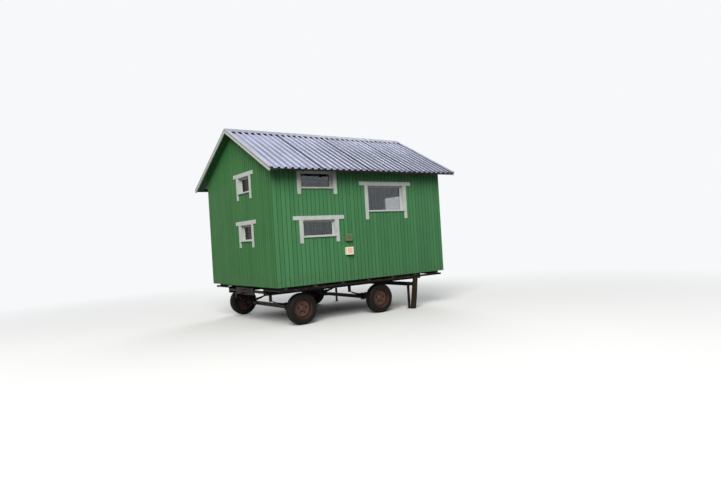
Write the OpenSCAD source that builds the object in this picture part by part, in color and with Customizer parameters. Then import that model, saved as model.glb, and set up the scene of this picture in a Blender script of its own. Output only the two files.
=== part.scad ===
// Timber-clad shepherds hut on a wheeled steel undercarriage.
// Millimetres, +Z up. The origin is on the ground under the middle of the hut.
// The long wall with three windows faces -Y, the gable end seen beside it faces -X.

/* [Body] */
// length of the walls along the ridge
body_l = 4200; // [3600:10:5400]
// width of the walls across the ridge
body_w = 3200; // [2600:10:3600]
// thickness of every wall
wall_t = 90; // [60:1:140]
// height of the underside of the floor above the ground
floor_z = 780; // [740:5:900]
// thickness of the floor deck
floor_t = 80; // [50:1:120]

/* [Roof] */
// height of the roof's underside at the ridge above the underside of the floor
ridge_h = 3200; // [3000:5:3400]
// pitch of both roof slopes in degrees
roof_pitch = 28.45; // [24:0.1:32]
// how far the sheets run past the long walls
eave_over = 335; // [200:5:450]
// how far the roof runs past the gable walls, to the outer face of the barge boards
verge_over = 188; // [120:2:260]
// height of the ribs of the roof sheet
rib_h = 30; // [18:1:40]
// distance from rib to rib
rib_pitch = 140; // [100:0.5:180]
// width of the top of a rib
rib_top = 40; // [20:1:50]
// width of a rib at its foot
rib_foot = 74; // [50:1:90]
// thickness of the sheet metal
sheet_t = 2; // [1:0.5:3]
// gap left between the two slopes of sheet along the ridge
ridge_gap = 30; // [10:1:60]
// width of the ridge cap down each slope
cap_w = 185; // [120:5:260]
// width of the verge flashing over the sheets
flash_w = 70; // [60:2:90]
// height of the verge flashing's hanging leg
flash_leg = 40; // [20:1:80]
// thickness of the ridge cap and the flashings
cap_t = 2; // [1:0.5:4]

/* [Roof timber] */
// thickness of the battens under the sheets
batten_t = 25; // [18:1:40]
// width of a batten
batten_w = 60; // [40:1:90]
// number of battens on each slope
batten_n = 5; // [3:1:7]
// height of a rafter
rafter_h = 95; // [70:1:140]
// width of a rafter
rafter_w = 45; // [35:1:70]
// height of a rafter's tail outside the wall
tail_h = 45; // [30:1:70]
// distance between the rafters
rafter_pitch = 780; // [500:10:900]
// distance from the eave's edge back to the cut end of a rafter
tail_back = 70; // [40:5:150]
// height of a barge board
barge_h = 50; // [45:1:140]
// thickness of the boards under the roof edges at the gables
soffit_t = 12; // [8:1:18]
// thickness of a barge board
barge_t = 22; // [16:1:30]

/* [Windows] */
// thickness of the boards around a window
trim_t = 20; // [14:1:28]
// width of the boards around a window
trim_w = 76; // [60:1:95]
// how far a head board runs past the side boards
head_over = 130; // [60:5:160]
// height of a sill
sill_h = 37; // [25:1:50]
// how far a sill stands out from the wall
sill_out = 34; // [24:1:60]
// how far the sill is let into the side boards
sill_housing = 6; // [3:1:15]
// depth of a sash behind the outer face of the wall
sash_in = 50; // [8:1:54]
// thickness of a sash frame
sash_t = 36; // [24:1:44]
// face width of a sash frame
sash_w = 32; // [24:1:60]
// thickness of a window pane
pane_t = 4; // [3:1:8]
// width of the small windows in the long walls
small_w = 742; // [600:2:850]
// height of the small windows
small_h = 340; // [280:2:400]
// distance of the small windows from the left corner of the long wall
small_x = 606; // [500:2:800]
// bottom of the lower small windows above the underside of the floor
low_z = 886; // [800:2:950]
// bottom of the upper small windows above the underside of the floor
high_z = 1826; // [1700:2:1880]
// how far the side boards run below the sill of a small window
small_tail = 105; // [60:5:150]
// width of the wide window
wide_w = 958; // [800:2:1100]
// height of the wide window
wide_h = 552; // [450:2:650]
// distance of the wide window from the left corner of the long wall
wide_x = 2178; // [2000:2:2400]
// bottom of the wide window above the underside of the floor
wide_z = 1349; // [1200:2:1450]
// how far the side boards run below the sill of the wide window
wide_tail = 152; // [80:5:180]
// width of the windows in the gables
gable_w = 536; // [450:2:650]
// distance of the gable windows from the corner at the long wall with three windows
gable_y = 944; // [850:2:1100]
// bottom of the upper gable windows above the underside of the floor
gable_high_z = 1854; // [1750:2:1950]
// distance of the wide window in the right gable from the front corner
end_y = 1038; // [900:2:1150]
// height of the sill of that window above the underside of the floor
end_z = 1291; // [1200:1:1349]
// how far the side boards run below the sill of a gable window
gable_tail = 122; // [60:5:150]

/* [Door] */
// width of the doorway in the wall away from the three windows
door_w = 820; // [700:5:950]
// height of the doorway
door_h = 1900; // [1750:5:2000]
// distance from the door to the right end of the hut
door_gap = 480; // [250:10:900]
// thickness of the door leaf
door_t = 45; // [35:1:60]
// thickness of the boards that line the doorway
door_lining = 20; // [14:1:30]
// depth of the door leaf behind the outer face of the wall
door_in = 20; // [10:1:40]
// height of the lever handle above the floor
handle_z = 1000; // [900:10:1100]
// distance of the handle from the edge of the doorway
handle_in = 90; // [60:1:120]
// length of the lever
handle_l = 115; // [90:1:140]
// how far the lever stands off the door
handle_out = 48; // [35:1:60]
// diameter of the lever
handle_d = 16; // [12:1:22]
// height of the plate behind the lever
plate_h = 150; // [110:5:200]
// width of the plate behind the lever
plate_w = 36; // [26:1:50]

/* [Undercarriage] */
// height of the cross bearers between the floor and the steel rails
bearer_h = 60; // [45:1:80]
// width of a cross bearer
bearer_w = 70; // [45:1:100]
// number of cross bearers
bearer_n = 7; // [5:1:9]
// distance from the gable's outer face to the first bearer
bearer_in = 150; // [100:5:220]
// height of the edge rails under the long walls
edge_h = 40; // [32:1:60]
// width of the edge rails
edge_w = 50; // [40:1:80]
// distance from the wall's outer face to an edge rail
edge_in = 20; // [0:1:60]
// distance from the gable's outer face to the end of a rail
edge_end = 60; // [20:5:150]
// height of the main beams
beam_h = 140; // [100:2:160]
// width of a main beam
beam_w = 80; // [60:1:120]
// distance of the main beams from the middle of the hut
beam_y = 830; // [700:5:900]
// width of a cross member
cross_w = 60; // [40:1:80]
// height of a cross member
cross_h = 50; // [35:1:70]
// thickness of the steel of rails and beams
steel_t = 8; // [5:1:12]
// width of the coupling plate at the left end
hitch_w = 860; // [600:10:1000]
// thickness of the coupling plate
plate_s = 12; // [8:1:20]
// length of the coupling lugs
lug_l = 150; // [100:5:170]
// width of a coupling lug
lug_w = 100; // [80:2:140]
// thickness of a coupling lug
lug_t = 15; // [10:1:22]
// space between the coupling lugs
lug_gap = 55; // [40:1:80]
// diameter of the hole for the coupling pin
pin_d = 32; // [20:1:45]
// height of the cross beam that the supports hold
bolster_h = 75; // [60:1:100]
// width of the cross beam that the supports hold
bolster_w = 90; // [70:1:120]
// position of that cross beam along the hut
bolster_x = 1145; // [1000:5:1250]
// distance from the wall's outer face to the end of that cross beam
bolster_in = 40; // [20:5:100]

/* [Wheels] */
// radius of a tyre
tyre_r = 310; // [300:1:325]
// width of a tyre
tyre_w = 190; // [160:2:210]
// distance from the wall's outer face to the outer face of a tyre
tyre_in = 130; // [80:5:160]
// radius of the rim
rim_r = 195; // [170:1:210]
// thickness of the rim's steel
rim_t = 6; // [4:1:10]
// position of the first axle along the hut
axle_a_x = -1500; // [-1600:10:-1400]
// position of the second axle along the hut
axle_b_x = 390; // [330:10:450]
// size of the square axle beam
axle_s = 70; // [60:1:90]
// thickness of one spring leaf
leaf_t = 12; // [8:1:16]
// width of a spring leaf
leaf_w = 60; // [50:1:75]
// half the length of the main leaf
leaf_l = 400; // [360:5:450]
// rise of the main leaf from its middle to its ends
leaf_rise = 90; // [70:2:110]

/* [Supports] */
// size of a square steel leg
leg_s = 40; // [30:1:60]
// distance of the legs from the wall's outer face
leg_in = 140; // [125:5:180]
// size of the foot plate of a steel leg
foot_s = 80; // [60:5:100]
// thickness of a foot plate
foot_t = 10; // [6:1:16]
// size of the leaning timber prop
prop_s = 92; // [80:1:100]
// position of the prop's foot along the hut
prop_foot_x = 1178; // [1150:2:1230]
// how far the prop leans along the hut
prop_lean = 108; // [60:2:140]

/* [Small parts] */
// width of the small box on the long wall
box_w = 160; // [120:5:200]
// height of the small box
box_h = 150; // [120:5:200]
// depth of the small box
box_d = 70; // [50:5:110]
// distance of the small box from the left corner of the long wall
box_x = 1622; // [1600:2:1700]
// bottom of the small box above the underside of the floor
box_z = 507; // [480:1:530]
// thickness of the boards of the small boxes
box_t = 12; // [8:1:18]
// width of the upper small box
upper_w = 140; // [110:5:180]
// height of the upper small box
upper_h = 142; // [110:2:180]
// bottom of the upper small box above the underside of the floor
upper_z = 782; // [740:2:830]

/* [Hidden] */
hl = body_l / 2;
hw = body_w / 2;
apex_z = floor_z + ridge_h;
cp = cos(roof_pitch);
tp = tan(roof_pitch);
sp = sin(roof_pitch);
eave_y = hw + eave_over;
verge_x = hl + verge_over;
slope_l = eave_y / cp;
rib_n = floor((verge_x - rib_foot / 2 - 5) / rib_pitch);
roof_skin = rib_h + sheet_t;
deck_z = floor_z + floor_t;
rail_z = floor_z - bearer_h;
beam_z = rail_z - beam_h;
bolster_z = beam_z - bolster_h;
beam_l = hl - edge_end;
lug_low = (beam_h - lug_gap) / 2 - lug_t;
tyre_y = hw - tyre_in - tyre_w / 2;
rim_depth = tyre_w - 20;
hub_r = 62;
hub_back = tyre_w / 2;
hub_y = tyre_y - hub_back;
axle_top = tyre_r + axle_s / 2;
leaf_r = (leaf_l * leaf_l + leaf_rise * leaf_rise) / (2 * leaf_rise);
leaf_n = 4;
leaf_bottom = axle_top + (leaf_n - 1) * leaf_t;
leg_y = hw - leg_in;
beam_web = beam_y + beam_w / 2 - steel_t;
edge_web = hw - edge_in - steel_t;
batten_step = (slope_l - batten_w - 20 - 60) / (batten_n - 1);
hanger_z = axle_top + leaf_n * leaf_t + leaf_r - sqrt(leaf_r * leaf_r - leaf_l * leaf_l) - 30;
gable_mid = -hw + gable_y + gable_w / 2;
small_mid = -hl + small_x + small_w / 2;
wide_mid = -hl + wide_x + wide_w / 2;
end_mid = -hw + end_y + wide_w / 2;
door_mid = hl - door_gap - door_w / 2;
plate_t = 6;

paint_green = [0.22, 0.42, 0.28];
paint_white = [0.85, 0.87, 0.84];
steel_black = [0.07, 0.07, 0.07];
zinc = [0.62, 0.63, 0.68];
timber = [0.52, 0.42, 0.30];
glass_c = [0.20, 0.24, 0.28];

// height of a plane that lies `drop` below the underside of the sheets, at distance y
function roof_z(y, drop) = apex_z - abs(y) * tp - drop / cp;

// a section drawn in Y and Z, pushed out along X
module along_x(x0, x1) {
    translate([x0, 0, 0])
        rotate([90, 0, 90])
            linear_extrude(x1 - x0)
                children();
}

// a band that follows both slopes between two depths
module chevron(y0, y1, drop0, drop1) {
    polygon([[y0, roof_z(y0, drop0)], [y1, roof_z(y1, drop0)],
             [y1, roof_z(y1, drop1)], [y0, roof_z(y0, drop1)]]);
}

module both_slopes(y0, y1, drop0, drop1) {
    if (y0 == 0)
        polygon([[-y1, roof_z(y1, drop0)], [0, roof_z(0, drop0)], [y1, roof_z(y1, drop0)],
                 [y1, roof_z(y1, drop1)], [0, roof_z(0, drop1)], [-y1, roof_z(y1, drop1)]]);
    else {
        chevron(y0, y1, drop0, drop1);
        mirror([1, 0])
            chevron(y0, y1, drop0, drop1);
    }
}

// the same band over the ridge from eave to eave, cut square at its ends
module ridge_band(y1, drop0, drop1) {
    e0 = y1 - drop0 * sp;
    e1 = y1 - drop1 * sp;
    polygon([[-e0, roof_z(e0, drop0)], [0, roof_z(0, drop0)], [e0, roof_z(e0, drop0)],
             [e1, roof_z(e1, drop1)], [0, roof_z(0, drop1)], [-e1, roof_z(e1, drop1)]]);
}

module mirror_y() {
    children();
    mirror([0, 1, 0])
        children();
}

module mirror_x() {
    children();
    mirror([1, 0, 0])
        children();
}

// a part drawn for the front wall: x along the wall, z up, y = 0 on the wall's face, inside is +y
module on_front() {
    translate([0, -hw, floor_z])
        children();
}

// the same for the back wall, with x kept as seen from the front
module on_back() {
    mirror([0, 1, 0])
        on_front()
            children();
}

// the same for the left gable, with x running from the front corner to the back one
module on_left() {
    translate([-hl, 0, floor_z])
        rotate([0, 0, 90])
            mirror([0, 1, 0])
                children();
}

module on_right() {
    mirror([1, 0, 0])
        on_left()
            children();
}

// floor and walls

module floor_deck() {
    color(timber)
        translate([-hl + wall_t, -hw + wall_t, floor_z])
            cube([body_l - 2 * wall_t, body_w - 2 * wall_t, floor_t]);
}

module opening(mid, w, z, h) {
    translate([mid - w / 2, -1, z])
        cube([w, wall_t + 2, h]);
}

module rafter_notches() {
    for (x = [-2 : 2])
        translate([x * rafter_pitch, 0, 0])
            along_x(-rafter_w / 2, rafter_w / 2)
                both_slopes(0, eave_y, 0, batten_t + rafter_h);
}

module long_wall() {
    along_x(-hl + wall_t, hl - wall_t)
        polygon([[-hw, floor_z], [-hw + wall_t, floor_z],
                 [-hw + wall_t, roof_z(hw - wall_t, batten_t)],
                 [-hw, roof_z(hw, batten_t)]]);
}

module wall_front() {
    color(paint_green)
        difference() {
            long_wall();
            on_front() {
                opening(small_mid, small_w, low_z, small_h);
                opening(small_mid, small_w, high_z, small_h);
                opening(wide_mid, wide_w, wide_z, wide_h);
            }
            rafter_notches();
        }
}

module wall_back() {
    color(paint_green)
        difference() {
            mirror([0, 1, 0])
                long_wall();
            on_back() {
                opening(small_mid, small_w, low_z, small_h);
                opening(small_mid, small_w, high_z, small_h);
                opening(door_mid, door_w, floor_t, door_h);
            }
            rafter_notches();
        }
}

module gable_wall() {
    along_x(-hl, -hl + wall_t)
        polygon([[-hw, floor_z], [hw, floor_z], [hw, roof_z(hw, batten_t)],
                 [0, roof_z(0, batten_t)], [-hw, roof_z(hw, batten_t)]]);
}

module gable_left() {
    color(paint_green)
        difference() {
            gable_wall();
            on_left() {
                opening(gable_mid, gable_w, low_z, small_h);
                opening(gable_mid, gable_w, gable_high_z, small_h);
            }
        }
}

module gable_right() {
    color(paint_green)
        difference() {
            mirror([1, 0, 0])
                gable_wall();
            on_right()
                opening(end_mid, wide_w, end_z, wide_h);
        }
}

// windows

// head board, two side boards and sill around an opening; over is how far the head runs past the sides
module casing(mid, w, z, h, tail, over = head_over) {
    color(paint_white)
        union() {
            translate([mid - w / 2 - trim_w - over, -trim_t, z + h])
                cube([w + 2 * trim_w + 2 * over, trim_t, trim_w]);
            for (x = [mid - w / 2 - trim_w, mid + w / 2])
                translate([x, -trim_t, z - tail])
                    cube([trim_w, trim_t, h + tail]);
            translate([mid - w / 2, -sill_out, z])
                cube([w, sill_out + sash_in, sill_h]);
            translate([mid - w / 2 - sill_housing, -trim_t, z])
                cube([w + 2 * sill_housing, trim_t, sill_h]);
        }
}

module sash(mid, w, z, h) {
    color(paint_white)
        translate([mid - w / 2, sash_in, z])
            difference() {
                cube([w, sash_t, h]);
                translate([sash_w, -1, sash_w])
                    cube([w - 2 * sash_w, sash_t + 2, h - 2 * sash_w]);
            }
}

module pane(mid, w, z, h) {
    color(glass_c)
        translate([mid - w / 2 + sash_w, sash_in + (sash_t - pane_t) / 2, z + sash_w])
            cube([w - 2 * sash_w, pane_t, h - 2 * sash_w]);
}

module casing_low() {
    on_front()
        casing(small_mid, small_w, low_z, small_h, small_tail);
}

module casing_high() {
    on_front()
        casing(small_mid, small_w, high_z, small_h, small_tail, 0);
}

module casing_wide() {
    on_front()
        casing(wide_mid, wide_w, wide_z, wide_h, wide_tail);
}

module casing_left_low() {
    on_left()
        casing(gable_mid, gable_w, low_z, small_h, gable_tail);
}

module casing_left_high() {
    on_left()
        casing(gable_mid, gable_w, gable_high_z, small_h, gable_tail);
}

module casing_right() {
    on_right()
        casing(end_mid, wide_w, end_z, wide_h, wide_tail);
}

module casing_back_low() {
    on_back()
        casing(small_mid, small_w, low_z, small_h, small_tail);
}

module casing_back_high() {
    on_back()
        casing(small_mid, small_w, high_z, small_h, small_tail, 0);
}

module sashes_front() {
    on_front() {
        sash(small_mid, small_w, low_z, small_h);
        sash(small_mid, small_w, high_z, small_h);
        sash(wide_mid, wide_w, wide_z, wide_h);
    }
}

module sashes_left() {
    on_left() {
        sash(gable_mid, gable_w, low_z, small_h);
        sash(gable_mid, gable_w, gable_high_z, small_h);
    }
}

module sashes_right() {
    on_right()
        sash(end_mid, wide_w, end_z, wide_h);
}

module sashes_back() {
    on_back() {
        sash(small_mid, small_w, low_z, small_h);
        sash(small_mid, small_w, high_z, small_h);
    }
}

module panes_front() {
    on_front() {
        pane(small_mid, small_w, low_z, small_h);
        pane(small_mid, small_w, high_z, small_h);
        pane(wide_mid, wide_w, wide_z, wide_h);
    }
}

module panes_left() {
    on_left() {
        pane(gable_mid, gable_w, low_z, small_h);
        pane(gable_mid, gable_w, gable_high_z, small_h);
    }
}

module panes_right() {
    on_right()
        pane(end_mid, wide_w, end_z, wide_h);
}

module panes_back() {
    on_back() {
        pane(small_mid, small_w, low_z, small_h);
        pane(small_mid, small_w, high_z, small_h);
    }
}

// door

module door_casing() {
    color(paint_white)
        on_back()
            difference() {
                union() {
                    translate([door_mid - door_w / 2 - trim_w - head_over / 2, -trim_t, floor_t + door_h])
                        cube([door_w + 2 * trim_w + head_over, trim_t, trim_w]);
                    translate([door_mid - door_w / 2 - trim_w, -trim_t, floor_t])
                        cube([door_w + 2 * trim_w, trim_t, door_h]);
                    translate([door_mid - door_w / 2, -trim_t, floor_t])
                        cube([door_w, trim_t + wall_t, door_h]);
                }
                translate([door_mid - door_w / 2 + door_lining, -trim_t - 1, floor_t - 1])
                    cube([door_w - 2 * door_lining, trim_t + wall_t + 2, door_h - door_lining + 1]);
            }
}

module door_leaf() {
    color(paint_green)
        on_back()
            translate([door_mid - door_w / 2 + door_lining, door_in, floor_t])
                cube([door_w - 2 * door_lining, door_t, door_h - door_lining]);
}

module door_handle() {
    color(steel_black)
        on_back()
            translate([door_mid - door_w / 2 + handle_in, door_in, floor_t + handle_z]) {
                translate([-plate_w / 2, -plate_t, -plate_h / 2])
                    cube([plate_w, plate_t, plate_h]);
                rotate([90, 0, 0])
                    cylinder(d = handle_d, h = handle_out, $fn = 24);
                translate([0, -handle_out, 0])
                    rotate([0, 90, 0])
                        cylinder(d = handle_d, h = handle_l, $fn = 24);
            }
}

// roof

// section of a ribbed sheet across the whole roof, ribs up
module sheet_profile() {
    upper = [for (i = [-rib_n : rib_n])
                for (q = [[-rib_foot / 2, sheet_t], [-rib_top / 2, roof_skin],
                          [rib_top / 2, roof_skin], [rib_foot / 2, sheet_t]])
                    [i * rib_pitch + q[0], q[1]]];
    lower = [for (i = [rib_n : -1 : -rib_n])
                for (q = [[rib_foot / 2 - sheet_t, 0], [rib_top / 2 - sheet_t, rib_h],
                          [-rib_top / 2 + sheet_t, rib_h], [-rib_foot / 2 + sheet_t, 0]])
                    [i * rib_pitch + q[0], q[1]]];
    polygon(concat([[-verge_x, 0], [-verge_x, sheet_t]], upper,
                   [[verge_x, sheet_t], [verge_x, 0]], lower));
}

// the sheets of the slope above the long wall with three windows
module slope_sheet() {
    color(zinc)
        translate([0, 0, apex_z])
            rotate([roof_pitch, 0, 0])
                translate([0, -ridge_gap, 0])
                    rotate([90, 0, 0])
                        linear_extrude(slope_l - ridge_gap)
                            sheet_profile();
}

module roof_front() {
    slope_sheet();
}

module roof_back() {
    mirror([0, 1, 0])
        slope_sheet();
}

module ridge_cap() {
    color(zinc)
        along_x(-verge_x, verge_x)
            both_slopes(0, cap_w * cp, -roof_skin, -roof_skin - cap_t);
}

// angle strips along both verges, on the outer ribs and over the barge boards
module verge_flashings() {
    color(paint_white)
        mirror_x() {
            along_x(verge_x - flash_w, verge_x + cap_t)
                both_slopes(cap_w * cp, eave_y, -roof_skin, -roof_skin - cap_t);
            along_x(verge_x, verge_x + cap_t)
                ridge_band(eave_y, flash_leg, -roof_skin);
        }
}

module barge_boards() {
    color(paint_white)
        mirror_x()
            along_x(verge_x - barge_t, verge_x)
                ridge_band(eave_y, 0, barge_h);
}

// boards that close the laths from below between the gable wall and the barge board
module verge_soffits() {
    color(paint_green)
        mirror_x()
            along_x(hl, verge_x - barge_t)
                ridge_band(eave_y - 20 * cp, batten_t, batten_t + soffit_t);
}

module rafters() {
    color(timber)
        rafter_run();
}

// full height over the room and the walls, shallow tails under the eaves
module rafter_run() {
    for (x = [-2 : 2])
        translate([x * rafter_pitch, 0, 0])
            along_x(-rafter_w / 2, rafter_w / 2)
                union() {
                    both_slopes(0, eave_y - tail_back, batten_t, batten_t + tail_h);
                    both_slopes(0, hw, batten_t, batten_t + rafter_h);
                }
}

// straight laths along the hut, on the rafters and the gable walls
module battens() {
    color(timber)
        mirror_y()
            for (i = [0 : batten_n - 1])
                translate([0, 0, apex_z])
                    rotate([roof_pitch, 0, 0])
                        translate([-verge_x + barge_t, -60 - batten_w - i * batten_step, -batten_t])
                            cube([2 * (verge_x - barge_t), batten_w, batten_t]);
}

// undercarriage

module bearers() {
    color(timber)
        for (i = [0 : bearer_n - 1])
            translate([-hl + bearer_in + i * (body_l - 2 * bearer_in - bearer_w) / (bearer_n - 1),
                       -hw + edge_in, rail_z])
                cube([bearer_w, body_w - 2 * edge_in, bearer_h]);
}

// a channel section along X, open towards +Y
module channel(l, w, h) {
    difference() {
        cube([l, w, h]);
        translate([-1, steel_t, steel_t])
            cube([l + 2, w, h - 2 * steel_t]);
    }
}

module edge_rails() {
    color(steel_black)
        mirror_y()
            translate([-beam_l, -hw + edge_in, rail_z - edge_h])
                channel(2 * beam_l, edge_w, edge_h);
}

module main_beams() {
    color(steel_black)
        mirror_y()
            translate([-beam_l, -beam_y - beam_w / 2, beam_z])
                channel(2 * beam_l, beam_w, beam_h);
}

// square tubes from web to web of the main beams, flat bars out to the edge rails
module cross_members() {
    color(steel_black)
        for (x = [-beam_l, -beam_l / 3, beam_l / 3, beam_l - cross_w]) {
            translate([x, -beam_web, beam_z + (beam_h - cross_h) / 2])
                cube([cross_w, 2 * beam_web, cross_h]);
            mirror_y()
                translate([x, beam_web + steel_t, rail_z - edge_h + steel_t])
                    cube([cross_w, edge_web - beam_web - steel_t, edge_h - 2 * steel_t]);
        }
}

// plate with two pierced lugs on the end tube, for towing
module coupling() {
    color(steel_black)
        translate([-beam_l, 0, beam_z])
            difference() {
                union() {
                    translate([-plate_s, -hitch_w / 2, 0])
                        cube([plate_s, hitch_w, beam_h]);
                    for (z = [lug_low, lug_low + lug_gap + lug_t])
                        translate([-lug_l, -lug_w / 2, z])
                            cube([lug_l, lug_w, lug_t]);
                }
                translate([-lug_l + lug_w / 2, 0, lug_low - 1])
                    cylinder(d = pin_d, h = lug_gap + 2 * lug_t + 2, $fn = 32);
            }
}

module bolster() {
    color(steel_black)
        translate([bolster_x - bolster_w / 2, -hw + bolster_in, bolster_z])
            cube([bolster_w, body_w - 2 * bolster_in, bolster_h]);
}

module axle(x) {
    translate([x - axle_s / 2, -hub_y, tyre_r - axle_s / 2])
        cube([axle_s, 2 * hub_y, axle_s]);
}

module axles() {
    color(steel_black) {
        axle(axle_a_x);
        axle(axle_b_x);
    }
}

// one curved leaf, lowest in the middle
module leaf(half, k) {
    translate([0, 0, leaf_r + axle_top + k * leaf_t])
        rotate([90, 0, 0])
            linear_extrude(leaf_w, center = true)
                intersection() {
                    difference() {
                        circle(r = leaf_r, $fn = 180);
                        circle(r = leaf_r - leaf_t, $fn = 180);
                    }
                    translate([-half, -leaf_r - 1])
                        square([2 * half, leaf_r * 0.5]);
                }
}

module spring(x, y) {
    translate([x, y, 0]) {
        for (k = [0 : leaf_n - 1])
            leaf(leaf_l * (k + 1.2) / (leaf_n + 0.2), k);
        for (s = [-1, 1])
            translate([s * (leaf_l - 20) - 20, -leaf_w / 2, hanger_z])
                cube([40, leaf_w, beam_z - hanger_z]);
    }
}

module springs() {
    color(steel_black)
        for (x = [axle_a_x, axle_b_x])
            for (y = [-beam_y, beam_y])
                spring(x, y);
}

module wheel_place() {
    for (x = [axle_a_x, axle_b_x])
        for (s = [0, 1])
            mirror([0, s, 0])
                translate([x, -tyre_y, tyre_r])
                    rotate([90, 0, 0])
                        children();
}

module tyres() {
    color(steel_black)
        wheel_place()
            rotate_extrude($fn = 96)
                polygon([[rim_r, -rim_depth / 2], [tyre_r - 70, -tyre_w / 2],
                         [tyre_r - 30, -tyre_w / 2 + 4], [tyre_r - 8, -tyre_w / 2 + 22],
                         [tyre_r, -tyre_w / 2 + 45], [tyre_r, tyre_w / 2 - 45],
                         [tyre_r - 8, tyre_w / 2 - 22], [tyre_r - 30, tyre_w / 2 - 4],
                         [tyre_r - 70, tyre_w / 2], [rim_r, rim_depth / 2]]);
}

// rim barrel with a dished disc and a hub that meets the axle
module rims() {
    color(zinc)
        wheel_place()
            rotate_extrude($fn = 96)
                polygon([[0, -hub_back], [hub_r, -hub_back], [hub_r, 20], [rim_r - 50, 35],
                         [rim_r - rim_t, 10], [rim_r - rim_t, -rim_depth / 2],
                         [rim_r, -rim_depth / 2], [rim_r, rim_depth / 2],
                         [rim_r - rim_t, rim_depth / 2], [rim_r - rim_t, 10 + rim_t],
                         [rim_r - 50, 35 + rim_t], [hub_r, 20 + rim_t],
                         [hub_r - 20, 50], [0, 50]]);
}

// supports

module steel_legs() {
    color(steel_black)
        for (y = [-leg_y, leg_y])
            translate([bolster_x, y, 0]) {
                translate([-leg_s / 2, -leg_s / 2, foot_t])
                    cube([leg_s, leg_s, bolster_z - foot_t]);
                translate([-foot_s / 2, -foot_s / 2, 0])
                    cube([foot_s, foot_s, foot_t]);
            }
}

// leaning post under the edge rail
module timber_prop() {
    color(timber)
        translate([0, -hw + prop_s, 0])
            rotate([90, 0, 0])
                linear_extrude(prop_s)
                    polygon([[prop_foot_x - prop_s / 2, 0], [prop_foot_x + prop_s / 2, 0],
                             [prop_foot_x + prop_s / 2 + prop_lean, rail_z - edge_h],
                             [prop_foot_x - prop_s / 2 + prop_lean, rail_z - edge_h]]);
}

// small parts

// open wooden box with its back on the wall
module hung_box(w, h, z) {
    on_front()
        translate([-hl + box_x - w / 2, -box_d, z])
            difference() {
                cube([w, box_d, h]);
                translate([box_t, box_t, box_t])
                    cube([w - 2 * box_t, box_d - 2 * box_t, h]);
            }
}

module wall_box() {
    color([0.85, 0.72, 0.62])
        hung_box(box_w, box_h, box_z);
}

module upper_box() {
    color([0.40, 0.44, 0.28])
        hung_box(upper_w, upper_h, upper_z);
}

floor_deck();
wall_front();
wall_back();
gable_left();
gable_right();
casing_low();
casing_high();
casing_wide();
casing_left_low();
casing_left_high();
casing_right();
casing_back_low();
casing_back_high();
sashes_front();
sashes_left();
sashes_right();
sashes_back();
panes_front();
panes_left();
panes_right();
panes_back();
door_casing();
door_leaf();
door_handle();
roof_front();
roof_back();
ridge_cap();
verge_flashings();
barge_boards();
verge_soffits();
rafters();
battens();
bearers();
edge_rails();
main_beams();
cross_members();
coupling();
bolster();
axles();
springs();
tyres();
rims();
steel_legs();
timber_prop();
wall_box();
upper_box();
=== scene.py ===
import math

import bmesh
import bpy
from mathutils import Euler, Matrix, Vector


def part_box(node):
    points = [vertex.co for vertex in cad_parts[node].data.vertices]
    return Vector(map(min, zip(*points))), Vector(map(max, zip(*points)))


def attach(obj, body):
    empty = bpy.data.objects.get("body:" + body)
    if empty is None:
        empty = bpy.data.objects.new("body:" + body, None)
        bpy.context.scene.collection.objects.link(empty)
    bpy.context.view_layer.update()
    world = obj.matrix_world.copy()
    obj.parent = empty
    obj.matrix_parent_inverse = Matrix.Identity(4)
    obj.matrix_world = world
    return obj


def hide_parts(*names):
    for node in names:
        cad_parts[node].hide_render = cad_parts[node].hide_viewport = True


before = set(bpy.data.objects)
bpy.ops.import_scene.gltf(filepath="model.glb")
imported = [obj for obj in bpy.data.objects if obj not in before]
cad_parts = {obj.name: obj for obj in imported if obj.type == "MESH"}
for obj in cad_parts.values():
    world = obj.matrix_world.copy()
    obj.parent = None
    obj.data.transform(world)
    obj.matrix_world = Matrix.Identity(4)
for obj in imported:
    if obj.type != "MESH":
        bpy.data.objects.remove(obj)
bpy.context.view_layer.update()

# Camera
# At eye height ahead of the left corner, looking across the hut's left gable and
# long wall. The lens keeps the upright edges of the picture.

eye = Vector((-6.718, -10.741, 1.559))
turn_deg, lift_deg, lean_deg = 35.634, 0.0195, -3.459
turn, lift, lean = (math.radians(v) for v in (turn_deg, lift_deg, lean_deg))
ahead = Vector((math.sin(turn) * math.cos(lift), math.cos(turn) * math.cos(lift), math.sin(lift)))
level = Vector((math.cos(turn), -math.sin(turn), 0.0))
above = level.cross(ahead)
rightward = level * math.cos(lean) + above * math.sin(lean)
upward = above * math.cos(lean) - level * math.sin(lean)
lens = bpy.data.cameras.new("viewpoint")
lens.sensor_width = 36.0
lens.lens = 27.534
viewpoint = bpy.data.objects.new("viewpoint", lens)
bpy.context.scene.collection.objects.link(viewpoint)
viewpoint.matrix_world = Matrix((
    (rightward.x, upward.x, -ahead.x, eye.x),
    (rightward.y, upward.y, -ahead.y, eye.y),
    (rightward.z, upward.z, -ahead.z, eye.z),
    (0.0, 0.0, 0.0, 1.0)))
bpy.context.scene.camera = viewpoint

# Underframe
# Channel beams and rails of rolled steel with welded cross tubes, leaf springs
# on two axles, a cross beam on two legs and a towing plate. All of it is brush
# painted black, with rust where the paint has worn and dust thrown up by wheels.


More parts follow.
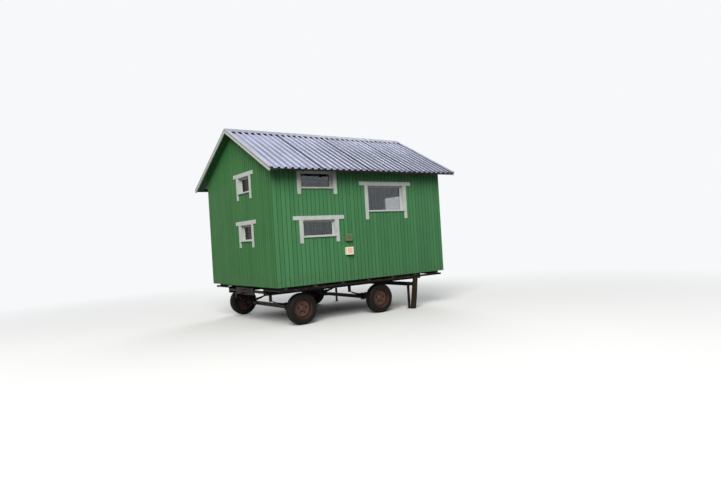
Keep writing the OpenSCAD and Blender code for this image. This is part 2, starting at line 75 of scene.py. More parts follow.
class Finish:
    """A finish being mixed: its node tree, its shader and the place on the object."""

    def __init__(self, name, roughness, metallic=0.0, shine=0.3):
        self.material = bpy.data.materials.new(name)
        self.material.use_nodes = True
        self.tree = self.material.node_tree
        self.shader = self.tree.nodes["Principled BSDF"]
        self.place = self.tree.nodes.new("ShaderNodeTexCoord").outputs["Object"]
        self.give("Roughness", roughness)
        self.give("Metallic", metallic)
        self.give("Specular IOR Level", shine)

    def feed(self, socket, value):
        if isinstance(value, bpy.types.NodeSocket):
            self.tree.links.new(value, socket)
        elif socket.type == "RGBA":
            socket.default_value = (*value, 1.0)
        else:
            socket.default_value = value

    def give(self, label, value):
        self.feed(self.shader.inputs[label], value)

    def maths(self, kind, first, second=0.0):
        node = self.tree.nodes.new("ShaderNodeMath")
        node.operation = kind
        self.feed(node.inputs[0], first)
        self.feed(node.inputs[1], second)
        return node.outputs[0]

    def along(self, axis):
        node = self.tree.nodes.new("ShaderNodeSeparateXYZ")
        self.feed(node.inputs[0], self.place)
        return node.outputs["XYZ".index(axis)]

    def cloud(self, size, detail=3.0, shift=0.0):
        """Soft noise whose blotches measure size metres along X, Y and Z."""
        node = self.tree.nodes.new("ShaderNodeMapping")
        self.feed(node.inputs["Vector"], self.place)
        node.inputs["Scale"].default_value = [1.0 / s for s in size]
        node.inputs["Location"].default_value = (shift, shift, shift)
        noise = self.tree.nodes.new("ShaderNodeTexNoise")
        self.feed(noise.inputs["Vector"], node.outputs[0])
        noise.inputs["Scale"].default_value = 1.0
        noise.inputs["Detail"].default_value = detail
        return noise.outputs["Fac"]

    def chance(self, number):
        """The same random value for every equal number."""
        node = self.tree.nodes.new("ShaderNodeTexWhiteNoise")
        node.noise_dimensions = "1D"
        self.feed(node.inputs["W"], number)
        return node.outputs["Value"]

    def span(self, value, low, high, start=0.0, end=1.0):
        node = self.tree.nodes.new("ShaderNodeMapRange")
        node.interpolation_type = "SMOOTHSTEP"
        for label, number in (("Value", value), ("From Min", low), ("From Max", high),
                              ("To Min", start), ("To Max", end)):
            self.feed(node.inputs[label], number)
        return node.outputs[0]

    def blend(self, share, first, second):
        node = self.tree.nodes.new("ShaderNodeMix")
        node.data_type = "RGBA"
        self.feed(node.inputs[0], share)
        self.feed(node.inputs[6], first)
        self.feed(node.inputs[7], second)
        return node.outputs[2]

    def brightened(self, colour, factor):
        node = self.tree.nodes.new("ShaderNodeVectorMath")
        node.operation = "SCALE"
        self.feed(node.inputs[0], colour)
        self.feed(node.inputs["Scale"], factor)
        return node.outputs[0]

    def relief(self, height, depth):
        node = self.tree.nodes.new("ShaderNodeBump")
        node.inputs["Distance"].default_value = depth
        self.feed(node.inputs["Height"], height)
        self.give("Normal", node.outputs[0])


def coat_nodes(material, *names):
    """Gives CAD nodes their finish in place of the plain colour they came with."""
    for name in names:
        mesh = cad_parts[name].data
        mesh.materials.clear()
        mesh.materials.append(material)


def worn_black_paint(name, paint, rust_share):
    coat = Finish(name, 0.5, shine=0.1)
    dark_rust, light_rust = (0.030, 0.012, 0.007), (0.080, 0.033, 0.016)
    road_dust = (0.060, 0.052, 0.040)
    rust = coat.blend(coat.cloud((0.02, 0.02, 0.02), 5.0), dark_rust, light_rust)
    patches = coat.cloud((0.16, 0.16, 0.10), 8.0)
    worn = coat.span(patches, 0.66 - rust_share, 0.72 - rust_share)
    skin = coat.brightened(paint, coat.span(coat.cloud((0.3, 0.3, 0.3)), 0.3, 0.7, 0.8, 1.25))
    dust = coat.maths("MULTIPLY", coat.span(coat.along("Z"), 0.55, 0.05, 0.0, 0.35),
                      coat.span(coat.cloud((0.05, 0.05, 0.05), 6.0, 3.0), 0.3, 0.7, 0.2, 1.0))
    colour = coat.blend(dust, coat.blend(worn, skin, rust), road_dust)
    coat.give("Base Color", colour)
    coat.give("Roughness", coat.span(worn, 0.0, 1.0, 0.42, 0.85))
    brushed, pitted = coat.cloud((0.012, 0.012, 0.012), 2.0), coat.cloud((0.003, 0.003, 0.003), 4.0)
    coat.relief(coat.blend(worn, brushed, pitted), 0.0006)
    return coat.material


black_steel = worn_black_paint("black steel", (0.008, 0.008, 0.008), 0.10)
coat_nodes(black_steel, "main_beams", "edge_rails", "cross_members", "coupling", "bolster",
           "axles", "springs", "steel_legs")


class Plan:
    """A geometry node tree being drawn, with named inputs for its sizes."""

    def __init__(self, name, **sizes):
        self.tree = bpy.data.node_groups.new(name, "GeometryNodeTree")
        face = self.tree.interface
        face.new_socket("Geometry", in_out="OUTPUT", socket_type="NodeSocketGeometry")
        face.new_socket("Geometry", in_out="INPUT", socket_type="NodeSocketGeometry")
        for label, kind in sizes.items():
            face.new_socket(label, in_out="INPUT", socket_type="NodeSocket" + kind)
        self.given = self.tree.nodes.new("NodeGroupInput").outputs

    def add(self, kind, inputs, **settings):
        node = self.tree.nodes.new(kind)
        for label, value in settings.items():
            setattr(node, label, value)
        for label, value in inputs.items():
            socket = next(s for s in node.inputs if s.enabled and s.name == label)
            if isinstance(value, bpy.types.NodeSocket):
                self.tree.links.new(value, socket)
            else:
                socket.default_value = value
        return next(s for s in node.outputs if s.enabled)

    def close(self, instances):
        solid = self.add("GeometryNodeRealizeInstances", {"Geometry": instances})
        coated = self.add("GeometryNodeSetMaterial", {"Geometry": solid, "Material": self.given["Finish"]})
        self.tree.links.new(coated, self.tree.nodes.new("NodeGroupOutput").inputs[0])
        return self.tree


def grown(name, mesh, tree, cutters=(), **sizes):
    """A plain mesh piece made by a node tree, and cut by the cutters if there are any."""
    piece = bpy.data.objects.new(name, mesh)
    bpy.context.scene.collection.objects.link(piece)
    layer = piece.modifiers.new("plan", "NODES")
    layer.node_group = tree
    for item in tree.interface.items_tree:
        if item.in_out == "INPUT" and item.name in sizes:
            layer[item.identifier] = sizes[item.name]
    for cutter in cutters:
        cut = piece.modifiers.new("cut", "BOOLEAN")
        cut.operation = "DIFFERENCE"
        cut.solver = "EXACT"
        cut.object = cutter
    graph = bpy.context.evaluated_depsgraph_get()
    solid = bpy.data.meshes.new_from_object(piece.evaluated_get(graph), depsgraph=graph)
    piece.modifiers.clear()
    solid.materials.clear()
    solid.materials.append(sizes["Finish"])
    piece.data = solid
    for cutter in cutters:
        bpy.data.objects.remove(cutter)
    return piece


def mesh_object(name, shape, finish=None, smooth=False):
    """The object of a finished bmesh."""
    bmesh.ops.remove_doubles(shape, verts=shape.verts, dist=1e-6)
    bmesh.ops.recalc_face_normals(shape, faces=shape.faces)
    mesh = bpy.data.meshes.new(name)
    shape.to_mesh(mesh)
    shape.free()
    if finish:
        mesh.materials.append(finish)
    if smooth:
        mesh.shade_smooth()
        mesh.set_sharp_from_angle(angle=math.radians(38))
    thing = bpy.data.objects.new(name, mesh)
    bpy.context.scene.collection.objects.link(thing)
    return thing


def template(name, shape):
    """A small part that a node tree repeats; it is taken away once its copies are made."""
    part = mesh_object(name, shape)
    bpy.context.scene.collection.objects.unlink(part)
    return part


def marks(name, places):
    """Points with the turn that a fixing takes there, from pairs of place and direction."""
    mesh = bpy.data.meshes.new(name)
    mesh.from_pydata([place for place, out in places], [], [])
    turns = mesh.attributes.new("turn", "FLOAT_VECTOR", "POINT")
    for entry, (place, out) in zip(turns.data, places):
        entry.vector = out if isinstance(out, Euler) else Vector(out).to_track_quat("Z", "Y").to_euler()
    return mesh


# One small part at every mark, turned as the mark says.
fixing_plan = Plan("fixings", Part="Object", Finish="Material")
part_shape = fixing_plan.add("GeometryNodeObjectInfo", {"Object": fixing_plan.given["Part"]})
part_shape = part_shape.node.outputs["Geometry"]
turn_there = fixing_plan.add("GeometryNodeInputNamedAttribute", {"Name": "turn"}, data_type="FLOAT_VECTOR")
rotation_there = fixing_plan.add("FunctionNodeEulerToRotation", {"Euler": turn_there})
fixing_tree = fixing_plan.close(fixing_plan.add("GeometryNodeInstanceOnPoints", {
    "Points": fixing_plan.given["Geometry"], "Instance": part_shape, "Rotation": rotation_there}))


def skinned(shape, rings):
    """Joins rings of equally many vertices by faces, and closes the first and the last."""
    for low, high in zip(rings, rings[1:]):
        for k in range(len(low)):
            n = (k + 1) % len(low)
            shape.faces.new((low[k], low[n], high[n], high[k]))
    shape.faces.new(rings[0])
    shape.faces.new(rings[-1])


def turned(shape, radii_heights, sides):
    """Adds a closed turned form about Z from its radii and heights."""
    rings = []
    for radius, height in radii_heights:
        rings.append([shape.verts.new((radius * math.cos(a), radius * math.sin(a), height))
                      for a in (2 * math.pi * i / sides for i in range(sides))])
    skinned(shape, rings)


def fixings(name, places, part, finish):
    piece = grown(name, marks(name, places), fixing_tree, Part=part, Finish=finish)
    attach(piece, "root")
    return piece


hex_bolt = bmesh.new()
turned(hex_bolt, [(0.0155, 0.0), (0.0155, 0.0025)], 14)
turned(hex_bolt, [(0.0110, 0.0025), (0.0110, 0.0085), (0.0095, 0.0100)], 6)
hex_bolt = template("hex bolt", hex_bolt)

# Bolts of the spring hangers, of the beams and of the leg heads
beam_low, beam_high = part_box("main_beams")
bolster_low, bolster_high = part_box("bolster")
bolt_places = []
hanger_bolts, leg_bolts = (-1.88, -1.12, 0.01, 0.77), (1.10, 1.19)
for side in (-1, 1):
    web = side * beam_high.y
    for x in hanger_bolts + leg_bolts:
        for z in (beam_low.z + 0.035, beam_high.z - 0.035):
            bolt_places.append(((x, web, z), (0, side, 0)))
    for x in (bolster_low.x + 0.02, bolster_high.x - 0.02):
        bolt_places.append(((x, side * 1.40, bolster_low.z), (0, 0, -1)))
fixings("frame_bolts", bolt_places, hex_bolt, black_steel)

# Spring clamps
# Two bent rods over each spring hold it on its axle. They are threaded at their
# lower ends and drawn up with nuts under a flat plate.

spring_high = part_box("springs")[1]
axle_low, axle_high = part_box("axles")
spring_y = (spring_high.y + beam_high.y) / 2 - 0.04
axle_places = (-1.5, 0.39)
clamps = bmesh.new()


def rod(shape, path, radius, sides=10):
    """Adds a round bar along a path of points."""
    rings = []
    for i, point in enumerate(path):
        point = Vector(point)
        before = Vector(path[max(i - 1, 0)])
        after = Vector(path[min(i + 1, len(path) - 1)])
        facing = (after - before).to_track_quat("Z", "Y").to_matrix()
        around = (2 * math.pi * k / sides for k in range(sides))
        rings.append([shape.verts.new(point + facing @ (radius * Vector((math.cos(a), math.sin(a), 0))))
                      for a in around])
    for low, high in zip(rings, rings[1:]):
        offset = min(range(sides), key=lambda k: (high[k].co - low[0].co).length)
        for k in range(sides):
            shape.faces.new((low[k], low[(k + 1) % sides],
                             high[(k + 1 + offset) % sides], high[(k + offset) % sides]))
    shape.faces.new(rings[0])
    shape.faces.new(rings[-1])


def block(shape, low, high, round_off=0.0):
    """Adds a box between two corners, with its edges eased."""
    made = bmesh.ops.create_cube(shape, size=1.0)["verts"]
    for vert in made:
        vert.co = Vector([low[k] if vert.co[k] < 0 else high[k] for k in range(3)])
    if round_off:
        edges = list({e for v in made for e in v.link_edges})
        bmesh.ops.bevel(shape, geom=edges, offset=round_off, segments=2, profile=0.6, affect="EDGES")


clamp_top = axle_high.z + 0.052
clamp_along, clamp_across = 0.045, 0.037
for x in axle_places:
    for y in (-spring_y, spring_y):
        for along in (-clamp_along, clamp_along):
            arch = [(x + along, y - clamp_across * math.cos(a), clamp_top - 0.012 + 0.016 * math.sin(a))
                    for a in (math.pi * k / 8 for k in range(9))]
            foot = axle_low.z - 0.034
            ends = [(x + along, y + across, foot) for across in (-clamp_across, clamp_across)]
            rod(clamps, ends[:1] + arch + ends[1:], 0.007)
        block(clamps, (x - 0.065, y - 0.052, axle_low.z - 0.012), (x + 0.065, y + 0.052, axle_low.z), 0.002)
clamps = mesh_object("spring_clamps", clamps, black_steel, True)
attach(clamps, "root")
nut_places = [((x + a, y + b, axle_low.z - 0.012), (0, 0, -1))
              for x in axle_places for y in (-spring_y, spring_y)
              for a in (-clamp_along, clamp_along) for b in (-clamp_across, clamp_across)]
fixings("clamp_nuts", nut_places, hex_bolt, black_steel)

# Tyres
# Air filled rubber tyres with angled tread blocks and ringed side walls, grey
# with road dust. They turn on pressed steel rims.

tyre_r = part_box("tyres")[1].z / 2
rim_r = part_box("rims")[1].z - tyre_r
tyre_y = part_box("tyres")[1].y - 0.095
wheel_places = [(x, side * tyre_y, side) for x in axle_places for side in (-1, 1)]


def wheel_turn(side):
    """Turns a form drawn about Z so that its +Z side faces out of the hut."""
    return Matrix.Rotation(math.radians(-90 * side), 4, "X")


def dusty_rubber():
    coat = Finish("tyre rubber", 0.8, shine=0.15)
    dust = coat.maths("MULTIPLY", coat.span(coat.cloud((0.03, 0.03, 0.03), 6.0), 0.35, 0.7, 0.05, 0.5),
                      coat.span(coat.along("Z"), 0.62, 0.0, 0.15, 1.0))
    colour = coat.blend(dust, (0.0045, 0.0045, 0.0038), (0.017, 0.015, 0.011))
    coat.give("Base Color", colour)
    coat.give("Roughness", coat.span(dust, 0.0, 0.8, 0.62, 0.92))
    coat.relief(coat.cloud((0.004, 0.004, 0.004), 3.0), 0.0004)
    return coat.material


tyre_rubber = dusty_rubber()
wall_section = [(rim_r, -0.078), (rim_r + 0.004, -0.086), (rim_r + 0.014, -0.090), (rim_r + 0.018, -0.0925),
                (rim_r + 0.022, -0.0905), (rim_r + 0.036, -0.0935), (rim_r + 0.050, -0.0945),
                (rim_r + 0.054, -0.0950), (rim_r + 0.058, -0.0935), (rim_r + 0.072, -0.0920),
                (rim_r + 0.088, -0.0840), (tyre_r - 0.013, -0.0680), (tyre_r - 0.010, -0.0480),
                (tyre_r - 0.009, -0.0200)]
tyre_section = wall_section + [(r, -z) for r, z in reversed(wall_section)]
rounds = 72
carcass = bmesh.new()
for x, y, side in wheel_places:
    rings = []
    for k in range(rounds):
        spin = Matrix.Rotation(2 * math.pi * k / rounds, 4, "Z")
        whole = Matrix.Translation((x, y, tyre_r)) @ wheel_turn(side) @ spin
        rings.append([carcass.verts.new(whole @ Vector((r, 0, z))) for r, z in tyre_section])
    for k in range(rounds):
        one, two = rings[k], rings[(k + 1) % rounds]
        for i in range(len(tyre_section)):
            j = (i + 1) % len(tyre_section)
            carcass.faces.new((one[i], one[j], two[j], two[i]))
carcass = mesh_object("tyres_carcass", carcass, tyre_rubber, True)
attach(carcass, "root")
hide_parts("tyres")

tread_block = bmesh.new()
block(tread_block, (-0.0105, -0.034, -0.004), (0.0105, 0.034, 0.0085))
for vert in tread_block.verts:
    if vert.co.z > 0:
        vert.co.x *= 0.86
        vert.co.y *= 0.94
        vert.co.z -= 0.0030 * abs(vert.co.y) / 0.034
tread_block = template("tread block", tread_block)
tread_places = []
tread_rounds, tread_skew = 44, math.radians(24)
for x, y, side in wheel_places:
    for k in range(tread_rounds):
        for row in (-1, 1):
            angle = 2 * math.pi * (k + 0.25 * row) / tread_rounds
            out = wheel_turn(side) @ Vector((math.cos(angle), math.sin(angle), 0))
            across = wheel_turn(side) @ Vector((0, 0, 1))
            skew = across * math.cos(tread_skew * row) + out.cross(across) * math.sin(tread_skew * row)
            facing = Matrix((skew.cross(out), skew, out)).transposed().to_euler()
            place = Vector((x, y, tyre_r)) + out * (tyre_r - 0.0090) + across * row * 0.036
            tread_places.append((place, facing))
fixings("tyres_tread", tread_places, tread_block, tyre_rubber)

# Rims
# Pressed steel rims with a dished centre, brush painted a dull red brown and
# dusty, each held on its hub by five nuts, with a valve through the dish.


def rim_paint():
    coat = Finish("rim paint", 0.6)
    bare = coat.span(coat.cloud((0.05, 0.05, 0.05), 8.0), 0.56, 0.62)
    paint = coat.blend(bare, (0.060, 0.027, 0.018), (0.090, 0.043, 0.022))
    dust = coat.span(coat.cloud((0.08, 0.08, 0.08), 5.0, 2.0), 0.3, 0.75, 0.0, 0.35)
    coat.give("Base Color", coat.blend(dust, paint, (0.060, 0.046, 0.033)))
    coat.relief(coat.cloud((0.006, 0.006, 0.006), 3.0), 0.0004)
    return coat.material


rim_coat = rim_paint()
coat_nodes(rim_coat, "rims")
wheel_nut = bmesh.new()
turned(wheel_nut, [(0.0150, -0.004), (0.0150, 0.004)], 16)
turned(wheel_nut, [(0.0120, 0.004), (0.0120, 0.014), (0.0105, 0.0165)], 6)
turned(wheel_nut, [(0.0065, 0.0165), (0.0065, 0.0215), (0.0050, 0.0230)], 12)
wheel_nut = template("wheel nut", wheel_nut)
nut_places = []
for x, y, side in wheel_places:
    for k in range(5):
        angle = math.radians(90 + 72 * k)
        place = wheel_turn(side) @ Vector((0.088 * math.cos(angle), 0.088 * math.sin(angle), 0.031))
        nut_places.append((Vector((x, y, tyre_r)) + place, (0, side, 0)))
fixings("wheel_nuts", nut_places, wheel_nut, black_steel)
valve = bmesh.new()
turned(valve, [(0.0055, -0.006), (0.0055, 0.020), (0.0040, 0.022), (0.0040, 0.032), (0.0030, 0.033)], 12)
valve = template("valve", valve)
valve_places = []
for x, y, side in wheel_places:
    place = wheel_turn(side) @ Vector((0.150, 0.035, 0.042))
    valve_places.append((Vector((x, y, tyre_r)) + place, (0, side, 0)))
fixings("valves", valve_places, valve, tyre_rubber)

# Timber of the floor and the roof
# Sawn softwood: near-black bearers under the room, bare floor boards on them, and
# rafters and laths under the sheets in a very dark brown.


def sawn_timber(name, grain, pale, dark, grey, pitch=None):
    """Bare wood whose grain runs along one axis; pitch draws the joints of boards."""
    coat = Finish(name, 0.75)
    fine = [0.006, 0.006, 0.006]
    fine["XYZ".index(grain)] = 0.30
    broad = [0.05, 0.05, 0.05]
    broad["XYZ".index(grain)] = 1.2
    rings = coat.cloud(fine, 4.0)
    colour = coat.blend(coat.span(rings, 0.35, 0.65), pale, dark)
    aged = coat.span(coat.cloud(broad, 4.0, 4.0), 0.35, 0.7, 0.0, grey)
    colour = coat.blend(aged, colour, coat.blend(0.5, pale, (0.155, 0.140, 0.120)))
    height = rings
    if pitch:
        across = coat.maths("DIVIDE", coat.along(pitch[0]), pitch[1])
        edge = coat.maths("ABSOLUTE", coat.maths("SUBTRACT", coat.maths("FRACT", across), 0.5))
        joint = coat.span(edge, 0.46, 0.49)
        tone = coat.span(coat.chance(coat.maths("FLOOR", across)), 0.0, 1.0, 0.82, 1.12)
        colour = coat.blend(joint, coat.brightened(colour, tone), (0.02, 0.016, 0.012))
        height = coat.maths("SUBTRACT", coat.maths("MULTIPLY", rings, 0.2), joint)
    coat.give("Base Color", colour)
    coat.relief(height, 0.0012 if not pitch else 0.003)
    return coat.material


near_black_bearer = sawn_timber("bearer timber", "Y", (0.030, 0.024, 0.018), (0.014, 0.011, 0.008), 0.15)
coat_nodes(near_black_bearer, "bearers")
bare_floor = sawn_timber("floor timber", "X", (0.23, 0.17, 0.105), (0.14, 0.10, 0.06), 0.3, ("Y", 0.12))
coat_nodes(bare_floor, "floor_deck")
roof_timber = sawn_timber("roof timber", "Y", (0.060, 0.046, 0.032), (0.030, 0.022, 0.015), 0.15)
coat_nodes(roof_timber, "rafters")
lath_timber = sawn_timber("lath timber", "X", (0.045, 0.035, 0.025), (0.022, 0.016, 0.011), 0.15)
coat_nodes(lath_timber, "battens")

# Timber prop
# A squared post leaning under the long wall, split and weathered brown, with
# the foot darkened by damp.

prop_low, prop_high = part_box("timber_prop")
prop_s = 0.092
prop_foot, prop_head = 1.178, 1.286
prop = bmesh.new()
layers = 22
section = []
corners = ((-1, -1), (1, -1), (1, 1), (-1, 1))
for k, (a, b) in enumerate(corners):
    for step in range(6):
        c, d = corners[(k + 1) % 4]
        t = step / 6
        u, v = a + (c - a) * t, b + (d - b) * t
        ease = 1.0 - 0.035 * (abs(u * v)) ** 6
        section.append((u * ease, v * ease))
rings = []
for i in range(layers + 1):
    t = i / layers
    ring = []
    for k, (u, v) in enumerate(section):
        wave = 0.0016 * math.sin(k * 2.1 + 5.0 * t) + 0.0010 * math.sin(k * 5.3 - 9.0 * t)
        check = 0.006 if k in (3, 15) and 0.12 < t < 0.83 else 0.0
        size = prop_s / 2 - 0.0026 + wave - check
        x = prop_foot + (prop_head - prop_foot) * t + u * size
        y = prop_low.y + prop_s / 2 + v * size
        ring.append(prop.verts.new((x, y, prop_high.z * t)))
    rings.append(ring)
skinned(prop, rings)


def weathered_post():
    coat = Finish("weathered post", 0.85, shine=0.1)
    grain = coat.cloud((0.008, 0.008, 0.25), 5.0)
    colour = coat.blend(coat.span(grain, 0.32, 0.66), (0.037, 0.027, 0.013), (0.010, 0.007, 0.003))
    grey = coat.span(coat.cloud((0.05, 0.05, 0.5), 5.0, 2.0), 0.45, 0.7, 0.0, 0.5)
    colour = coat.blend(grey, colour, (0.034, 0.027, 0.015))
    wet = coat.span(coat.along("Z"), 0.16, 0.02, 0.0, 0.7)
    coat.give("Base Color", coat.blend(wet, colour, (0.030, 0.022, 0.014)))
    coat.relief(grain, 0.0022)
    return coat.material


post_wood = weathered_post()
prop = mesh_object("timber_prop_post", prop, post_wood)
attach(prop, "root")
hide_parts("timber_prop")

# Cladding
# Upright tongued boards with a chamfer on each edge, so that every joint shows
# as a narrow vee. They are nailed over the wall frame, cut round each opening,
# and painted green on site. The gables get a deeper, warmer green than the long
# walls, though it is one paint: painted light, a sunlit hue on the gables and a
# shaded one on the long walls.

wall_l, wall_w = 2.1, 1.6
foot_z = 0.768
eave_z = 3.081
apex_z, slope = 3.980, math.radians(28.45)
board_out, board_back = 0.007, 0.003
long_count, gable_count = 46, 35
front_pitch = (2 * wall_l + 2 * board_out) / long_count
gable_pitch = 2 * wall_w / gable_count


def green_paint(name, axis, start, pitch, shade=1.0):
    """Paint on boards that stand side by side along one axis, with dirt in their joints."""
    coat = Finish(name, 0.5, shine=0.08)
    place = coat.maths("DIVIDE", coat.maths("SUBTRACT", coat.along(axis), start), pitch)
    board = coat.maths("FLOOR", place)
    edge = coat.maths("ABSOLUTE", coat.maths("SUBTRACT", coat.maths("FRACT", place), 0.5))
    # shade dims the whole green; at 0.7 on the soffits it is painted shade.
    tone = coat.span(coat.chance(board), 0.0, 1.0, 0.91 * shade, 1.08 * shade)
    # Painted light: the gables get a deeper, warmer green than the long walls, sunlit against shaded, though
    # it is one paint.
    warm = axis == "Y"
    colour = coat.brightened((0.040, 0.157, 0.044) if warm else (0.058, 0.190, 0.077), tone)
    faded = coat.span(coat.cloud((0.45, 0.45, 0.8), 4.0, 7.0), 0.35, 0.7, 0.0, 0.35)
    colour = coat.blend(faded, colour, (0.062, 0.186, 0.060) if warm else (0.074, 0.218, 0.094))
    streak = [0.030, 0.030, 0.9]
    streak["XYZ".index("Y" if axis == "X" else "X")] = 1.0
    runs = coat.span(coat.cloud(streak, 5.0, 1.5), 0.52, 0.75, 0.0, 0.32)
    colour = coat.blend(runs, colour, (0.038, 0.110, 0.045))
    splash = coat.maths("MULTIPLY", coat.span(coat.along("Z"), 1.12, 0.80, 0.0, 0.55),
                        coat.span(coat.cloud((0.06, 0.06, 0.10), 6.0, 5.0), 0.35, 0.75))
    colour = coat.blend(splash, colour, (0.075, 0.105, 0.058))
    joint = coat.span(edge, 0.5 - 0.010 / pitch, 0.5 - 0.0015 / pitch, 0.0, 0.72)
    coat.give("Base Color", coat.blend(joint, colour, (0.010, 0.034, 0.013)))
    grain = coat.cloud((0.004, 0.004, 0.22), 4.0)
    coat.give("Roughness", coat.span(grain, 0.3, 0.7, 0.42, 0.62))
    coat.relief(grain, 0.0007)
    return coat.material


board_plan = Plan("boards", Board="Object", Count="Int", First="Vector", Step="Vector",
                  Loose="Vector", Seed="Int", Finish="Material")
row = board_plan.add("GeometryNodeMeshLine", {
    "Count": board_plan.given["Count"], "Start Location": board_plan.given["First"],
    "Offset": board_plan.given["Step"]}, mode="OFFSET")
board_shape = board_plan.add("GeometryNodeObjectInfo", {"Object": board_plan.given["Board"]})
board_shape = board_shape.node.outputs["Geometry"]
placed = board_plan.add("GeometryNodeInstanceOnPoints", {"Points": row, "Instance": board_shape})
loose, seed = board_plan.given["Loose"], board_plan.given["Seed"]
least = board_plan.add("ShaderNodeVectorMath", {"Vector": loose, "Scale": -1.0}, operation="SCALE")
shift = board_plan.add("FunctionNodeRandomValue", {"Min": least, "Max": loose, "Seed": seed},
                       data_type="FLOAT_VECTOR")
board_tree = board_plan.close(board_plan.add("GeometryNodeTranslateInstances", {
    "Instances": placed, "Translation": shift}))


def vee_board(name, pitch, height, turn_z):
    """One board with its face towards -Y, turned about Z to face out of its wall."""
    half = pitch / 2 - 0.0004
    outline = [(-half, board_back), (-half, -0.0020), (-half + 0.0055, -board_out),
               (half - 0.0055, -board_out), (half, -0.0020), (half, board_back)]
    shape = bmesh.new()
    skinned(shape, [[shape.verts.new((x, y, z)) for x, y in outline] for z in (0, height)])
    bmesh.ops.transform(shape, matrix=Matrix.Rotation(math.radians(turn_z), 4, "Z"), verts=shape.verts)
    return template(name, shape)


# Each window as its wall, the middle of its opening along the wall as seen from
# outside, its width, its sill height, its height, the tail of its side boards and
# how far its head board runs past them.
wall_turns = {"front": 0, "right": 90, "back": 180, "left": -90}
windows = {
    "casing_low": ("front", -1.123, 0.742, 1.666, 0.340, 0.105, 0.130),
    "casing_high": ("front", -1.123, 0.742, 2.606, 0.340, 0.105, 0.0),
    "casing_wide": ("front", 0.557, 0.958, 2.129, 0.552, 0.152, 0.130),
    "casing_left_low": ("left", 0.388, 0.536, 1.666, 0.340, 0.122, 0.130),
    "casing_left_high": ("left", 0.388, 0.536, 2.634, 0.340, 0.122, 0.130),
    "casing_right": ("right", -0.083, 0.958, 2.071, 0.552, 0.152, 0.130),
    "casing_back_low": ("back", 1.123, 0.742, 1.666, 0.340, 0.105, 0.130),
    "casing_back_high": ("back", 1.123, 0.742, 2.606, 0.340, 0.105, 0.0),
}
door_mid, door_w, door_h, deck_z = -1.21, 0.82, 1.90, 0.86


def on_wall(wall):
    """Places a form drawn with X along the wall, +Y inwards and Z up on its wall."""
    depth = wall_w if wall in ("front", "back") else wall_l
    return Matrix.Rotation(math.radians(wall_turns[wall]), 4, "Z") @ Matrix.Translation((0, -depth, 0))


def cladding(wall):
    wide = wall in ("front", "back")
    pitch = front_pitch if wide else gable_pitch
    count = long_count if wide else gable_count
    run = (wall_l + board_out if wide else wall_w) - pitch / 2
    height = (eave_z if wide else apex_z) - foot_z
    cutter = bmesh.new()
    for where, mid, width, sill, tall, tail, over in windows.values():
        if where == wall:
            block(cutter, (mid - width / 2, -0.1, sill), (mid + width / 2, 0.1, sill + tall))
    if wall == "back":
        block(cutter, (door_mid - door_w / 2, -0.1, foot_z - 0.1),
              (door_mid + door_w / 2, 0.1, deck_z + door_h))
    bmesh.ops.transform(cutter, matrix=on_wall(wall), verts=cutter.verts)
    if not wide:
        side = -1 if wall == "left" else 1
        x0, x1 = sorted((side * (wall_l - 0.1), side * (wall_l + 0.1)))
        drop = 0.026 / math.cos(slope)
        outline = [(-2.0, apex_z - 2.0 * math.tan(slope) - drop), (0, apex_z - drop),
                   (2.0, apex_z - 2.0 * math.tan(slope) - drop), (2.0, 5.0), (-2.0, 5.0)]
        skinned(cutter, [[cutter.verts.new((x, y, z)) for y, z in outline] for x in (x0, x1)])
    cutter = mesh_object("openings", cutter)
    facing = on_wall(wall).to_3x3()
    axis = "X" if wide else "Y"
    start = -(wall_l + board_out) if wide else -wall_w
    piece = grown(
        "cladding_" + wall, bpy.data.meshes.new("cladding"), board_tree, [cutter],
        Board=vee_board("board " + wall, pitch, height, wall_turns[wall]), Count=count,
        First=on_wall(wall) @ Vector((-run, 0, foot_z)), Step=facing @ Vector((pitch, 0, 0)),
        Loose=Vector([abs(v) for v in facing @ Vector((0.0, 0.0006, 0.0))]), Seed=7,
        Finish=green_paint("green paint " + wall, axis, start, pitch))
    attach(piece, "root")


for wall in wall_turns:
    cladding(wall)

# Wall linings
# Bare upright boards nailed over the inner faces of the wall frames, gone brown
# with age. They show dimly through the panes.

lining_pale, lining_dark = (0.36, 0.25, 0.14), (0.21, 0.14, 0.075)
for name, axis, nodes in (("long lining", "X", ("wall_front", "wall_back")),
                          ("gable lining", "Y", ("gable_left", "gable_right"))):
    coat_nodes(sawn_timber(name, "Z", lining_pale, lining_dark, 0.3, (axis, 0.12)), *nodes)

# Window casings
# Planed boards painted white: a long head board, two side boards that run past
# the sill, and a sloping sill between them, all nailed through the cladding.


def white_gloss(name, dirt=0.25, paint=(0.47, 0.495, 0.47)):
    coat = Finish(name, 0.42)
    shade = coat.span(coat.cloud((0.25, 0.25, 0.25), 5.0), 0.35, 0.7, 0.93, 1.03)
    colour = coat.brightened(paint, shade)
    grime = coat.span(coat.cloud((0.05, 0.05, 0.16), 7.0, 3.0), 0.5, 0.75, 0.0, dirt)
    colour = coat.blend(grime, colour, (0.29, 0.30, 0.25))
    coat.give("Base Color", colour)
    brush = coat.cloud((0.003, 0.003, 0.003), 3.0)
    coat.give("Roughness", coat.span(brush, 0.3, 0.7, 0.34, 0.5))
    coat.relief(brush, 0.0003)
    return coat.material


white_paint = white_gloss("white paint")
trim_t, trim_w = 0.020, 0.076
nail_head = bmesh.new()
turned(nail_head, [(0.0042, -0.0010), (0.0042, 0.0006), (0.0030, 0.0013)], 10)
nail_head = template("nail head", nail_head)
nail_places = []


def sill_form(shape, x0, x1, z):
    """Adds a sill with a sloping top and a rounded nose."""
    outline = [(0.050, z), (0.050, z + 0.037), (-0.026, z + 0.031), (-0.032, z + 0.0285),
               (-0.034, z + 0.024), (-0.034, z + 0.007), (-0.031, z + 0.002), (-0.026, z)]
    skinned(shape, [[shape.verts.new((x, y, h)) for y, h in outline] for x in (x0, x1)])


